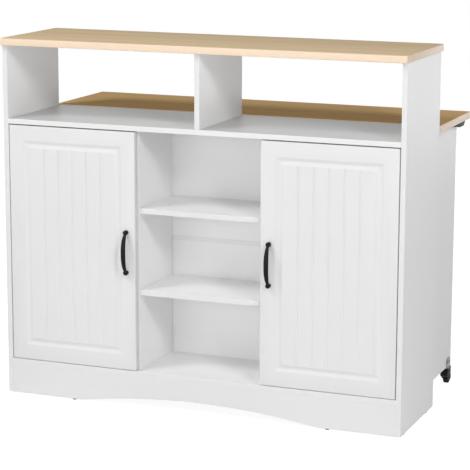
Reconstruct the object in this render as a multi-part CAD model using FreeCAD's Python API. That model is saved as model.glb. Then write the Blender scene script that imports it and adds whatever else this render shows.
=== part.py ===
import FreeCAD, Part
import math
import os

from FreeCAD import Vector

# Sizes in millimetres: X along the counter, Y from the door fronts to the rear, Z up

# Cabinet boards
cabinet_width = 1200.0
cabinet_depth = 322.0
board = 15.0
counter_board = 20.0
plinth_height = 88.0
niche_height = 693.0
cubby_height = 210.0
niche_width = 364.0
counter_front_overhang = 14.0
counter_rear_overhang = 16.0
counter_side_overhang = 2.0
leg_recess = 74.0
front_setback = 2.0
edge_round = 1.0
counter_round = 2.0

# Back sheets and the strip that joins them
back_sheet = 3.0
groove_depth = 4.0
groove_clearance = 0.1
joiner_height = 14.0
joiner_leaf = 1.2
joiner_web = 2.0

# Arch of the plinth and the floor glides
arch_width = 720.0
arch_rise = 30.0
arch_end_round = 12.0
glide_height = 3.0
glide_radius = 7.0
glide_chamfer = 1.0
plinth_glide_x = 388.0
side_glide_front_inset = 42.0
side_glide_rear_inset = 62.0

# Loose shelves and their pins
shelf_side_gap = 0.5
cabinet_shelf_setback = 45.0
pin_radius = 2.5
pin_in_board = 6.0
pin_under_shelf = 8.0
pin_inset = 40.0
hole_clearance = 0.1

# Cam locks and bolts of the boards
cam_radius = 7.5
cam_depth = 11.0
cam_setback = 24.0
cam_front_inset = 50.0
cam_rear_inset = 60.0
bolt_radius = 3.0
bolt_in_side = 10.0

# Doors
door_gap = 3.0
door_top_gap = 3.0
door_bottom_gap = 2.0
door_reveal = 7.0
door_frame = 45.0
ring_slope = 5.0
ring_flat = 8.0
ring_depth = 4.0
plank_count = 6
plank_groove = 6.0
plank_groove_depth = 3.0

# Concealed door hinges
cup_radius = 17.5
cup_depth = 11.0
cup_wall = 3.0
cup_edge = 4.5
cup_end_inset = 95.0
flange_thickness = 1.5
flange_length = 52.0
flange_width = 20.0
flange_rim = 2.0
arm_plate = 2.5
arm_plate_height = 40.0
arm_plate_depth = 42.0
arm_plate_front = 12.0
arm_height = 13.0
arm_thickness = 8.0
arm_nose = 5.0
fit_clearance = 0.05

# Bow handles
handle_edge_inset = 26.0
handle_spacing = 116.0
handle_projection = 29.0
handle_ball = 7.2
handle_ball_stand = 9.0
handle_post = 4.5
bow_width = 11.5
bow_thickness = 8.0
bow_end_share = 0.62
bow_steps = 8
screw_radius = 2.0
screw_in_post = 7.0
screw_head_radius = 4.0
screw_head = 2.0

# Drop leaf on its two pins
leaf_rise = 1.0
leaf_gap = 2.0
leaf_depth = 333.0
leaf_pin_radius = 4.0
leaf_pin_inset = 2.0
leaf_pin_length = 38.0
slot_reach = 38.0
slot_clearance = 0.8

# Swing-out legs
leg_inset = 25.0
leg_board = 15.0
leg_length = 296.0
leg_pivot_inset = 8.0
leg_pivot_setback = 10.0
leg_top_gap = 1.0
leg_pin_radius = 3.0
leg_pin_depth = 20.0
leg_pin_reach = 4.0
catch_inner_inset = 52.0
catch_outer_inset = 12.0
catch_lead = 62.0
catch_toe = 58.0
catch_ramp = 9.0
catch_tail = 34.0
catch_back = 48.0
catch_drop = 19.5
catch_gap = 0.6
catch_behind_leg = 2.0

# Steel brackets of the leaf and the legs
bracket_sheet = 2.5
bracket_tab = 3.0
bracket_depth = 30.0
bracket_height = 70.0
bracket_tab_gap = 1.0
foot_bracket_height = 40.0
ear_radius = 8.0
ear_gap = 1.2
tab_radius = 9.0
bracket_screw_radius = 1.75
bracket_screw_length = 10.0
bracket_screw_head = 2.0
bracket_screw_head_radius = 3.5
bracket_screw_inset = 10.0

# Board casters
caster_height = 55.0
caster_inset = 27.0
caster_trail = 16.0
tyre_radius = 20.0
tyre_width = 14.0
tyre_round = 3.0
hub_radius = 12.0
hub_proud = 0.3
axle_radius = 2.5
axle_head_radius = 4.0
axle_head = 1.5
cheek_sheet = 2.0
cheek_width = 38.0
cheek_rise = 28.0
cheek_round = 12.0
bracket_base = 2.0
cheek_screw_spread = 9.0
cheek_screw_rise = 15.0
cheek_screw_radius = 1.5
cheek_screw_length = 6.0
cheek_screw_head_radius = 3.2
cheek_screw_head = 1.6
race_radius = 12.0
race_height = 3.6
race_gap = 0.4
stem_radius = 4.0
stem_head_radius = 5.0
stem_head = 2.0
stem_pocket_gap = 1.0
fork_gap = 1.5
fork_wall = 2.5
fork_plate = 3.0
fork_front = 12.0
fork_rear = 22.0
fork_end = 8.0
fork_front_drop = 12.0
pedal_pin_radius = 1.5
pedal_pin_back = 18.0
pedal_pin_drop = 4.5
pedal_front = 5.0
pedal_reach = 18.0
pedal_thickness = 3.4
pedal_side_gap = 1.0
pedal_lip = 3.0
pedal_lip_length = 5.0

# Derived places
overrun = edge_round
x_out = cabinet_width / 2
x_in = x_out - board
z_panel = glide_height
z_bottom = z_panel + plinth_height
z_bay = z_bottom + board
z_floor = z_bay + niche_height
z_cubby = z_floor + board
z_counter = z_cubby + cubby_height
z_total = z_counter + counter_board
y_back = cabinet_depth - leg_recess
y_shelf_end = y_back - joiner_leaf - groove_clearance
y_divider = board + front_setback
x_niche = niche_width / 2
x_divider = x_niche + board
z_middle = z_bay + niche_height / 2
bay_count = 3
bay_height = (niche_height - (bay_count - 1) * board) / bay_count
x_door_in = x_niche + door_reveal
x_door_out = x_in - door_gap
z_door_low = z_bay + door_bottom_gap
z_door_high = z_floor - door_top_gap
x_cup = x_door_out - cup_edge - cup_radius
cup_heights = (z_door_low + cup_end_inset, z_door_high - cup_end_inset)
x_handle = x_door_in + handle_edge_inset
z_handle = (z_door_low + z_door_high) / 2
leaf_half = counter_board / 2
y_leaf_axis = cabinet_depth + leaf_gap + leaf_half
z_leaf_axis = z_cubby + leaf_rise - leaf_half
z_leaf_under = z_leaf_axis - leaf_half
y_leaf_rear = cabinet_depth + leaf_gap + leaf_depth
x_leg_out = x_out - leg_inset
x_leg_in = x_leg_out - leg_board
x_leg = (x_leg_out + x_leg_in) / 2
y_leg_pivot = cabinet_depth - leg_pivot_setback
y_leg_front = y_leg_pivot - leg_pivot_inset
y_leg_rear = y_leg_front + leg_length
z_leg_low = caster_height
z_leg_high = z_leaf_under - leg_top_gap
y_caster = y_leg_rear - caster_inset
x_plate = x_in - bracket_sheet
z_fork = z_leg_low - bracket_base - race_gap - race_height
frame_shift = (y_leaf_rear - handle_projection) / 2


def box(x0, x1, y0, y1, z0, z1):
    return Part.makeBox(x1 - x0, y1 - y0, z1 - z0, Vector(x0, y0, z0))


def rounded(shape, radius=edge_round):
    return shape.makeFillet(radius, shape.Edges)


def rod(radius, start, end):
    axis = end - start
    return Part.makeCylinder(radius, axis.Length, start, axis)


def rod_x(radius, x0, x1, y, z):
    return rod(radius, Vector(x0, y, z), Vector(x1, y, z))


def rod_y(radius, y0, y1, x, z):
    return rod(radius, Vector(x, y0, z), Vector(x, y1, z))


def rod_z(radius, z0, z1, x, y):
    return rod(radius, Vector(x, y, z0), Vector(x, y, z1))


def slab(outline, x0, x1):
    corners = [Vector(x0, y, z) for y, z in outline]
    face = Part.Face(Part.makePolygon(corners + corners[:1]))
    return face.extrude(Vector(x1 - x0, 0, 0))


def fused(shapes):
    whole = shapes[0]
    for shape in shapes[1:]:
        whole = whole.fuse(shape)
    return whole.removeSplitter()


def drilled(shape, cutters):
    for cutter in cutters:
        shape = shape.cut(cutter)
    return shape


def mirrored(shape):
    return shape.mirror(Vector(0, 0, 0), Vector(1, 0, 0))


def both_sides(shapes):
    return shapes + [mirrored(shape) for shape in shapes]


def straight_edges(shape, direction, wanted):
    chosen = []
    for edge in shape.Edges:
        along = edge.tangentAt(edge.FirstParameter)
        if abs(abs(along.dot(direction)) - 1) < edge.Tolerance and wanted(edge.CenterOfMass):
            chosen.append(edge)
    return chosen


def save(node, shape):
    placed = shape.copy()
    placed.translate(Vector(0, -frame_shift, 0))
    placed.exportStep("parts/" + node + ".step")


def save_pair(node, shape):
    save(node + "_right", shape)
    save(node + "_left", mirrored(shape))


def shelf_low(step):
    return z_bay + step * bay_height + (step - 1) * board


# Shelf pins and their holes
def pin_places():
    fronts = (y_divider + pin_inset, y_shelf_end - pin_inset)
    places = []
    for y in fronts:
        for step in range(1, bay_count):
            z = shelf_low(step) - pin_radius
            places.append((x_niche - pin_under_shelf, x_niche + pin_in_board, y, z))
        z = z_middle - board / 2 - pin_radius
        y_in = y + cabinet_shelf_setback / 2
        places.append((x_divider - pin_in_board, x_divider + pin_under_shelf, y_in, z))
        places.append((x_in - pin_under_shelf, x_in + pin_in_board, y_in, z))
    return places


def pin_rods(growth=0):
    return [rod_x(pin_radius + growth, x0 - growth, x1 + growth, y, z)
            for x0, x1, y, z in pin_places()]


# Cam locks in the undersides of the two long boards, with bolts into the sides
def cam_places():
    places = [(cam_front_inset, z_floor), (cabinet_depth - cam_rear_inset, z_floor)]
    places += [(cam_front_inset, z_bottom), (y_back - cam_rear_inset, z_bottom)]
    return places


def cam_rods(growth=0):
    return [rod_z(cam_radius + growth, z, z + cam_depth + growth, x_in - cam_setback, y)
            for y, z in cam_places()]


def bolt_rods(growth=0):
    start = x_in - cam_setback + cam_radius + hole_clearance
    end = x_in + bolt_in_side
    return [rod_x(bolt_radius + growth, start - growth, end + growth, y, z + board / 2)
            for y, z in cam_places()]


# Boards of the cabinet
def side_panel():
    panel = rounded(box(x_in, x_out, 0, cabinet_depth, z_panel, z_counter))
    groove = box(x_in - overrun, x_in + groove_depth, y_back - groove_clearance,
                 y_back + back_sheet + groove_clearance, z_bottom, z_floor)
    holes = pin_rods(hole_clearance) + bolt_rods(hole_clearance) + bracket_screw_shanks(hole_clearance)
    return drilled(panel, [groove] + holes)


def long_board(z, y_end):
    plank = rounded(box(-x_in, x_in, 0, y_end, z, z + board))
    return drilled(plank, both_sides(cam_rods(hole_clearance) + bolt_rods(hole_clearance)))


def divider():
    panel = rounded(box(x_niche, x_divider, y_divider, y_shelf_end, z_bay, z_floor))
    return drilled(panel, pin_rods(hole_clearance))


def counter():
    half = x_out + counter_side_overhang
    return rounded(box(-half, half, -counter_front_overhang,
                       cabinet_depth + counter_rear_overhang, z_counter, z_total), counter_round)


def cubby_divider():
    return rounded(box(-board / 2, board / 2, 0, cabinet_depth, z_cubby, z_counter))


def arch_tool():
    half = arch_width / 2
    radius = (half * half + arch_rise * arch_rise) / (2 * arch_rise)
    centre_z = z_panel + arch_rise - radius
    round_reach = math.sqrt((radius + arch_end_round) ** 2 - (z_panel + arch_end_round - centre_z) ** 2)
    share = radius / (radius + arch_end_round)
    meet = Vector(round_reach * share, 0, centre_z + (z_panel + arch_end_round - centre_z) * share)
    turn = math.pi / 2 - math.atan2(round_reach - meet.x, z_panel + arch_end_round - meet.z) / 2
    middle = Vector(round_reach - arch_end_round * math.cos(turn), 0,
                    z_panel + arch_end_round - arch_end_round * math.sin(turn))
    foot = Vector(round_reach, 0, z_panel)
    low = Vector(round_reach, 0, z_panel - overrun)
    flip = FreeCAD.Rotation(Vector(0, 0, 1), 180)
    edges = [Part.Arc(meet, Vector(0, 0, z_panel + arch_rise), flip.multVec(meet)).toShape(),
             Part.Arc(foot, middle, meet).toShape(),
             Part.Arc(flip.multVec(meet), flip.multVec(middle), flip.multVec(foot)).toShape(),
             Part.makeLine(foot, low),
             Part.makeLine(low, flip.multVec(low)),
             Part.makeLine(flip.multVec(low), flip.multVec(foot))]
    outline = Part.Wire(Part.__sortEdges__(edges))
    tool = Part.Face(outline).extrude(Vector(0, board + 2 * overrun, 0))
    tool.translate(Vector(0, -overrun, 0))
    return tool


def front_plinth():
    return rounded(box(-x_in, x_in, 0, board, z_panel, z_bottom)).cut(arch_tool())


def rear_plinth():
    return rounded(box(-x_in, x_in, y_back - board, y_back, z_panel, z_bottom))


def back_panel(z0, z1):
    half = x_in + groove_depth - groove_clearance
    return box(-half, half, y_back, y_back + back_sheet, z0, z1)


def back_joiner():
    half = x_in - groove_clearance
    low = z_middle - joiner_height / 2
    high = z_middle + joiner_height / 2
    front = box(-half, half, y_back - joiner_leaf, y_back, low, high)
    rear = box(-half, half, y_back + back_sheet, y_back + back_sheet + joiner_leaf, low, high)
    web = box(-half, half, y_back, y_back + back_sheet, z_middle - joiner_web / 2, z_middle + joiner_web / 2)
    return fused([front, web, rear])


def niche_shelf(step):
    half = x_niche - shelf_side_gap
    low = shelf_low(step)
    return rounded(box(-half, half, y_divider, y_shelf_end, low, low + board))


def cabinet_shelf():
    return rounded(box(x_divider + shelf_side_gap, x_in - shelf_side_gap, cabinet_shelf_setback,
                       y_shelf_end, z_middle - board / 2, z_middle + board / 2))


def glide(x, y):
    disc = rod_z(glide_radius, 0, glide_height, x, y)
    rim = [edge for edge in disc.Edges if edge.CenterOfMass.z < overrun / 2 and edge.Closed]
    return disc.makeChamfer(glide_chamfer, rim)


def floor_glides():
    x_side = (x_in + x_out) / 2
    places = [(plinth_glide_x, board / 2), (plinth_glide_x, y_back - board / 2),
              (x_side, side_glide_front_inset), (x_side, cabinet_depth - side_glide_rear_inset)]
    return Part.makeCompound(both_sides([glide(x, y) for x, y in places]))


# Doors with their hinges and handles
def rectangle(x0, x1, z0, z1, y):
    corners = [Vector(x0, y, z0), Vector(x1, y, z0), Vector(x1, y, z1), Vector(x0, y, z1)]
    return Part.makePolygon(corners + corners[:1])


def door_block(inset_front, inset_deep):
    wires = []
    for inset, y in ((inset_front, 0), (inset_deep, ring_depth)):
        wires.append(rectangle(x_door_in + inset, x_door_out - inset, z_door_low + inset,
                               z_door_high - inset, y))
    return Part.makeLoft(wires, True, True)


def plank_grooves():
    first = x_door_in + door_frame + ring_slope + ring_flat + ring_slope
    last = x_door_out - door_frame - ring_slope - ring_flat - ring_slope
    low = z_door_low + door_frame + ring_slope + ring_flat / 2
    high = z_door_high - door_frame - ring_slope - ring_flat / 2
    tools = []
    for step in range(1, plank_count):
        x = first + (last - first) * step / plank_count
        corners = [Vector(x - plank_groove / 2, 0, low), Vector(x + plank_groove / 2, 0, low),
                   Vector(x, plank_groove_depth, low)]
        face = Part.Face(Part.makePolygon(corners + corners[:1]))
        tools.append(face.extrude(Vector(0, 0, high - low)))
    return tools


def handle_heights():
    return (z_handle - handle_spacing / 2, z_handle + handle_spacing / 2)


def door_panel():
    panel = rounded(box(x_door_in, x_door_out, 0, board, z_door_low, z_door_high))
    outer = door_block(door_frame, door_frame + ring_slope)
    field_edge = door_frame + ring_slope + ring_flat
    field = door_block(field_edge + ring_slope, field_edge)
    cups = [rod_y(cup_radius + fit_clearance, board - cup_depth - fit_clearance, board + overrun, x_cup, z)
            for z in cup_heights]
    bores = [rod_y(screw_radius + hole_clearance, -overrun, board + overrun, x_handle, z)
             for z in handle_heights()]
    return drilled(panel, [outer.cut(field)] + plank_grooves() + cups + bores)


def hinge_cups():
    cups = []
    for z in cup_heights:
        cup = rod_y(cup_radius, board - cup_depth, board, x_cup, z)
        flange = box(x_cup - flange_width / 2, x_cup + flange_width / 2, board, board + flange_thickness,
                     z - flange_length / 2, z + flange_length / 2)
        rim = rod_y(cup_radius + flange_rim, board, board + flange_thickness, x_cup, z)
        hollow = rod_y(cup_radius - cup_wall, board - cup_depth + cup_wall,
                       board + flange_thickness + overrun, x_cup, z)
        cups.append(fused([cup, flange, rim]).cut(hollow))
    return Part.makeCompound(cups)


def hinge_arms():
    front = board + flange_thickness
    arms = []
    for z in cup_heights:
        low, high = z - arm_height / 2, z + arm_height / 2
        x_arm = x_in - arm_plate - arm_thickness
        plate = box(x_in - arm_plate, x_in, front + arm_plate_front,
                    front + arm_plate_front + arm_plate_depth,
                    z - arm_plate_height / 2, z + arm_plate_height / 2)
        beam = box(x_arm, x_in - arm_plate, front, front + arm_plate_front + arm_plate_depth, low, high)
        nose = box(x_cup, x_arm, front, front + arm_nose, low, high)
        arms.append(fused([plate, beam, nose]))
    return Part.makeCompound(arms)


def bow_section(step):
    place = 2 * step / bow_steps - 1
    bulge = 1 - place * place
    out = handle_projection - bow_thickness / 2 - handle_ball_stand
    size_share = bow_end_share + (1 - bow_end_share) * bulge
    ellipse = Part.Ellipse(Vector(0, 0, 0), bow_width / 2 * size_share, bow_thickness / 2 * size_share)
    wire = Part.Wire(ellipse.toShape())
    tilt = math.atan2(-2 * place * out, handle_spacing / 2)
    wire.rotate(Vector(0, 0, 0), Vector(1, 0, 0), math.degrees(tilt))
    wire.translate(Vector(x_handle, -handle_ball_stand - out * bulge, z_handle + place * handle_spacing / 2))
    return wire


def door_handle():
    pieces = [Part.makeLoft([bow_section(step) for step in range(bow_steps + 1)], True, False)]
    for z in handle_heights():
        pieces.append(Part.makeSphere(handle_ball, Vector(x_handle, -handle_ball_stand, z)))
        pieces.append(rod_y(handle_post, -handle_ball_stand, 0, x_handle, z))
    bores = [rod_y(screw_radius + fit_clearance, -screw_in_post - fit_clearance, overrun, x_handle, z)
             for z in handle_heights()]
    return drilled(fused(pieces), bores)


def handle_screws():
    screws = []
    for z in handle_heights():
        shank = rod_y(screw_radius, -screw_in_post, board, x_handle, z)
        head = rod_y(screw_head_radius, board, board + screw_head, x_handle, z)
        screws.append(fused([shank, head]))
    return Part.makeCompound(screws)


# Drop leaf, its pins and the catches that hold the legs
def leaf_pin_rod(growth=0):
    end = x_out - leaf_pin_inset
    return rod_x(leaf_pin_radius + growth, end - leaf_pin_length - growth, end, y_leaf_axis, z_leaf_axis)


def drop_leaf():
    flat = box(-x_out, x_out, y_leaf_axis, y_leaf_rear, z_leaf_under, z_leaf_under + counter_board)
    rear = straight_edges(flat, Vector(1, 0, 0), lambda middle: middle.y > y_leaf_axis + overrun)
    rear += straight_edges(flat, Vector(0, 0, 1), lambda middle: middle.y > y_leaf_axis + overrun)
    flat = flat.makeFillet(counter_round, rear)
    nose = rod_x(leaf_half, -x_out, x_out, y_leaf_axis, z_leaf_axis)
    slot = box(x_plate - slot_clearance, x_in + slot_clearance, y_leaf_axis - leaf_half - overrun,
               y_leaf_axis + slot_reach, z_leaf_under - overrun, z_leaf_under + counter_board + overrun)
    bore = leaf_pin_rod(fit_clearance)
    mouth = rod_x(leaf_pin_radius + fit_clearance, x_out - leaf_pin_inset, x_out + overrun,
                  y_leaf_axis, z_leaf_axis)
    return drilled(fused([flat, nose]), both_sides([slot, bore, mouth]))


def leg_catch():
    outline = [(y_leg_rear - catch_lead, z_leaf_under),
               (y_leg_rear - catch_toe, z_leaf_under - catch_ramp),
               (y_leg_rear - catch_ramp, z_leaf_under - catch_drop),
               (y_leg_rear + catch_tail, z_leaf_under - catch_drop),
               (y_leg_rear + catch_back, z_leaf_under - catch_ramp),
               (y_leg_rear + catch_back, z_leaf_under)]
    block = slab(outline, x_out - catch_inner_inset, x_out - catch_outer_inset)
    room = box(x_out - catch_inner_inset - overrun, x_leg_out + catch_gap, y_leg_rear - catch_lead - overrun,
               y_leg_rear + catch_behind_leg, z_leaf_under - catch_drop - overrun, z_leaf_under + overrun)
    return block.cut(room)


# Steel brackets on the inner faces of the sides
def bracket_screw_places():
    low, high = z_floor - bracket_height + bracket_screw_inset, z_floor - 2 * bracket_screw_inset
    y_near = cabinet_depth - bracket_depth + bracket_screw_inset
    places = [(y_near, low), (y_near, high)]
    foot = z_leg_low - bracket_tab_gap - bracket_tab
    places += [(y_near, foot + foot_bracket_height - bracket_screw_inset),
               (y_near + bracket_screw_inset, foot + foot_bracket_height / 2)]
    return places


def bracket_screw_shanks(growth=0):
    return [rod_x(bracket_screw_radius + growth, x_plate - growth, x_in + bracket_screw_length + growth, y, z)
            for y, z in bracket_screw_places()]


def bracket_screws():
    screws = []
    for shank, place in zip(bracket_screw_shanks(), bracket_screw_places()):
        head = rod_x(bracket_screw_head_radius, x_plate - bracket_screw_head, x_plate, *place)
        screws.append(fused([shank, head]))
    return Part.makeCompound(both_sides(screws))


def pivot_tab(z):
    tab = box(x_leg, x_plate, y_leg_pivot - tab_radius, y_leg_pivot + tab_radius, z, z + bracket_tab)
    return fused([tab, rod_z(tab_radius, z, z + bracket_tab, x_leg, y_leg_pivot)])


def leg_pin_rod(z0, z1, growth=0):
    return rod_z(leg_pin_radius + growth, z0 - growth, z1 + growth, x_leg, y_leg_pivot)


def leg_pin_ends():
    return ((z_leg_low - leg_pin_reach, z_leg_low + leg_pin_depth),
            (z_leg_high - leg_pin_depth, z_leg_high + leg_pin_reach))


def corner_bracket():
    y_near = cabinet_depth - bracket_depth
    z_tab = z_leg_high + bracket_tab_gap
    z_plate = z_tab + bracket_tab
    y_edge = cabinet_depth - overrun
    outline = [(y_near, z_plate - bracket_height), (y_edge - ear_radius, z_plate - bracket_height),
               (y_leaf_axis + ear_radius, z_leaf_axis - 2 * ear_radius),
               (y_leaf_axis + ear_radius, z_leaf_axis), (y_leaf_axis - ear_radius, z_leaf_axis),
               (cabinet_depth + ear_gap, z_plate), (y_near, z_plate)]
    plate = slab(outline, x_plate, x_in)
    ear = rod_x(ear_radius, x_plate, x_in, y_leaf_axis, z_leaf_axis)
    bore = rod_x(leaf_pin_radius + fit_clearance, x_plate - overrun, x_in + overrun, y_leaf_axis, z_leaf_axis)
    holes = [leg_pin_rod(*ends, growth=fit_clearance) for ends in leg_pin_ends()]
    holes += bracket_screw_shanks(hole_clearance)
    return drilled(fused([plate, ear, pivot_tab(z_tab)]), [bore] + holes)


def foot_bracket():
    low = z_leg_low - bracket_tab_gap - bracket_tab
    plate = box(x_plate, x_in, cabinet_depth - bracket_depth, cabinet_depth - overrun, low,
                low + foot_bracket_height)
    holes = [leg_pin_rod(*ends, growth=fit_clearance) for ends in leg_pin_ends()]
    return drilled(fused([plate, pivot_tab(low)]), holes + bracket_screw_shanks(hole_clearance))


# Legs
def cheek_screw_places():
    z = z_leg_low + cheek_screw_rise
    return [(y_caster - cheek_screw_spread, z), (y_caster + cheek_screw_spread, z)]


def cheek_screw_shanks(growth=0):
    shanks = []
    for y, z in cheek_screw_places():
        shanks.append(rod_x(cheek_screw_radius + growth, x_leg_out - cheek_screw_length - growth,
                            x_leg_out + cheek_sheet, y, z))
        shanks.append(rod_x(cheek_screw_radius + growth, x_leg_in - cheek_sheet,
                            x_leg_in + cheek_screw_length + growth, y, z))
    return shanks


def leg_panel():
    panel = rounded(box(x_leg_in, x_leg_out, y_leg_front, y_leg_rear, z_leg_low, z_leg_high))
    pocket = rod_z(stem_head_radius + stem_pocket_gap, z_leg_low - overrun,
                   z_leg_low + stem_head + stem_pocket_gap, x_leg, y_caster)
    pins = [leg_pin_rod(*ends, growth=fit_clearance) for ends in leg_pin_ends()]
    return drilled(panel, [pocket] + pins + cheek_screw_shanks(hole_clearance))


def leg_pins():
    return Part.makeCompound([leg_pin_rod(*ends) for ends in leg_pin_ends()])


# Casters
def caster_bracket():
    y0, y1 = y_caster - cheek_width / 2, y_caster + cheek_width / 2
    low = z_leg_low - bracket_base
    high = z_leg_low + cheek_rise
    outside = box(x_leg_in - cheek_sheet, x_leg_out + cheek_sheet, y0, y1, low, high)
    crown = straight_edges(outside, Vector(1, 0, 0), lambda middle: middle.z > z_leg_low)
    outside = outside.makeFillet(cheek_round, crown)
    leg_room = box(x_leg_in, x_leg_out, y0 - overrun, y1 + overrun, z_leg_low, high + overrun)
    stem = rod_z(stem_radius + fit_clearance, low - overrun, z_leg_low + overrun, x_leg, y_caster)
    return drilled(outside, [leg_room, stem] + cheek_screw_shanks(hole_clearance))


def cheek_screws():
    screws = []
    for y, z in cheek_screw_places():
        outer = rod_x(cheek_screw_radius, x_leg_out - cheek_screw_length, x_leg_out + cheek_sheet, y, z)
        cap = rod_x(cheek_screw_head_radius, x_leg_out + cheek_sheet,
                    x_leg_out + cheek_sheet + cheek_screw_head, y, z)
        inner = rod_x(cheek_screw_radius, x_leg_in - cheek_sheet, x_leg_in + cheek_screw_length, y, z)
        inner_cap = rod_x(cheek_screw_head_radius, x_leg_in - cheek_sheet - cheek_screw_head,
                          x_leg_in - cheek_sheet, y, z)
        screws += [fused([outer, cap]), fused([inner, inner_cap])]
    return Part.makeCompound(screws)


def pedal_axis():
    return y_caster + pedal_pin_back, z_fork - pedal_pin_drop


def caster_fork():
    y_axle = y_caster + caster_trail
    inner = tyre_width / 2 + fork_gap
    outer = inner + fork_wall
    outline = [(y_caster - fork_front, z_fork), (y_caster + fork_rear, z_fork),
               (y_axle + fork_end, tyre_radius), (y_axle - fork_end, tyre_radius),
               (y_caster - fork_front, z_fork - fork_front_drop)]
    pieces = []
    for x0 in (x_leg + inner, x_leg - outer):
        wall = slab(outline, x0, x0 + fork_wall)
        pieces.append(wall.fuse(rod_x(fork_end, x0, x0 + fork_wall, y_axle, tyre_radius)))
    pieces.append(box(x_leg - outer, x_leg + outer, y_caster - fork_front,
                      y_caster + pedal_pin_back - pedal_front - pedal_side_gap, z_fork - fork_plate, z_fork))
    pieces.append(rod_z(race_radius, z_fork - fork_plate, z_fork + race_height, x_leg, y_caster))
    pieces.append(rod_z(stem_radius, z_fork, z_leg_low + stem_head, x_leg, y_caster))
    pieces.append(rod_z(stem_head_radius, z_leg_low + race_gap, z_leg_low + stem_head, x_leg, y_caster))
    y_pin, z_pin = pedal_axis()
    x_low, x_high = x_leg - outer - overrun, x_leg + outer + overrun
    bores = [rod_x(axle_radius + fit_clearance, x_low, x_high, y_axle, tyre_radius),
             rod_x(pedal_pin_radius + fit_clearance, x_low, x_high, y_pin, z_pin)]
    return drilled(fused(pieces), bores)


def caster_pins():
    outer = tyre_width / 2 + fork_gap + fork_wall
    y_axle = y_caster + caster_trail
    shank = rod_x(axle_radius, x_leg - outer, x_leg + outer, y_axle, tyre_radius)
    heads = [rod_x(axle_head_radius, x_leg + outer, x_leg + outer + axle_head, y_axle, tyre_radius),
             rod_x(axle_head_radius, x_leg - outer - axle_head, x_leg - outer, y_axle, tyre_radius)]
    y_pin, z_pin = pedal_axis()
    pedal_pin = rod_x(pedal_pin_radius, x_leg - outer, x_leg + outer, y_pin, z_pin)
    return Part.makeCompound([fused([shank] + heads), pedal_pin])


def tyre():
    half = tyre_width / 2
    y_axle = y_caster + caster_trail
    ring = rod_x(tyre_radius, x_leg - half, x_leg + half, y_axle, tyre_radius)
    ring = ring.makeFillet(tyre_round, [edge for edge in ring.Edges if edge.Closed])
    return ring.cut(rod_x(hub_radius, x_leg - half - overrun, x_leg + half + overrun, y_axle, tyre_radius))


def wheel_hub():
    half = tyre_width / 2 + hub_proud
    y_axle = y_caster + caster_trail
    disc = rod_x(hub_radius, x_leg - half, x_leg + half, y_axle, tyre_radius)
    return disc.cut(rod_x(axle_radius + fit_clearance, x_leg - half - overrun, x_leg + half + overrun,
                          y_axle, tyre_radius))


def brake_pedal():
    y_pin, z_pin = pedal_axis()
    half = tyre_width / 2 + fork_gap - pedal_side_gap
    low, high = z_pin - pedal_thickness / 2, z_pin + pedal_thickness / 2
    tip = y_pin + pedal_reach
    outline = [(y_pin - pedal_front, low), (tip, low), (tip, high + pedal_lip),
               (tip - pedal_lip_length, high), (y_pin - pedal_front, high)]
    lever = slab(outline, x_leg - half, x_leg + half)
    boss = rod_x(pedal_thickness / 2 + pedal_pin_radius / 2, x_leg - half, x_leg + half, y_pin, z_pin)
    bore = rod_x(pedal_pin_radius + fit_clearance, x_leg - half - overrun, x_leg + half + overrun,
                 y_pin, z_pin)
    return fused([lever, boss]).cut(bore)


def save_cabinet():
    save_pair("side_panel", side_panel())
    save_pair("divider", divider())
    save_pair("cabinet_shelf", cabinet_shelf())
    save_pair("hinge_arms", hinge_arms())
    save_pair("corner_bracket", corner_bracket())
    save_pair("foot_bracket", foot_bracket())
    save("bar_top", counter())
    save("cubby_floor", long_board(z_floor, cabinet_depth))
    save("cubby_divider", cubby_divider())
    save("bottom_panel", long_board(z_bottom, y_back))
    save("plinth_front", front_plinth())
    save("plinth_rear", rear_plinth())
    save("back_panel_upper", back_panel(z_middle + joiner_web / 2, z_floor))
    save("back_panel_lower", back_panel(z_bottom, z_middle - joiner_web / 2))
    save("back_joiner", back_joiner())
    save("niche_shelf_lower", niche_shelf(1))
    save("niche_shelf_upper", niche_shelf(2))
    save("shelf_pins", Part.makeCompound(both_sides(pin_rods())))
    save("cam_locks", Part.makeCompound(both_sides(cam_rods())))
    save("cam_bolts", Part.makeCompound(both_sides(bolt_rods())))
    save("floor_glides", floor_glides())
    save("bracket_screws", bracket_screws())


def save_doors():
    save_pair("door_panel", door_panel())
    save_pair("door_handle", door_handle())
    save_pair("handle_screws", handle_screws())
    save_pair("hinge_cups", hinge_cups())


def save_leaf():
    save("drop_leaf", drop_leaf())
    save("leaf_pins", Part.makeCompound(both_sides([leaf_pin_rod()])))
    save_pair("leg_catch", leg_catch())


def save_legs():
    save_pair("leg_panel", leg_panel())
    save_pair("leg_pins", leg_pins())
    save_pair("caster_bracket", caster_bracket())
    save_pair("cheek_screws", cheek_screws())
    save_pair("caster_fork", caster_fork())
    save_pair("caster_pins", caster_pins())
    save_pair("tyre", tyre())
    save_pair("wheel_hub", wheel_hub())
    save_pair("brake_pedal", brake_pedal())


os.makedirs("parts", exist_ok=True)
save_cabinet()
save_doors()
save_leaf()
save_legs()
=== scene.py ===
"""Looks of the rolling kitchen island.

Finishes, shaped pieces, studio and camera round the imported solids.
"""
import logging
import math
from collections.abc import Callable, Iterator, Mapping, Sequence
from contextlib import contextmanager
from dataclasses import dataclass, replace
from enum import Enum, IntEnum
from typing import Any

import bmesh
import bpy
from mathutils import Matrix, Vector


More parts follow.
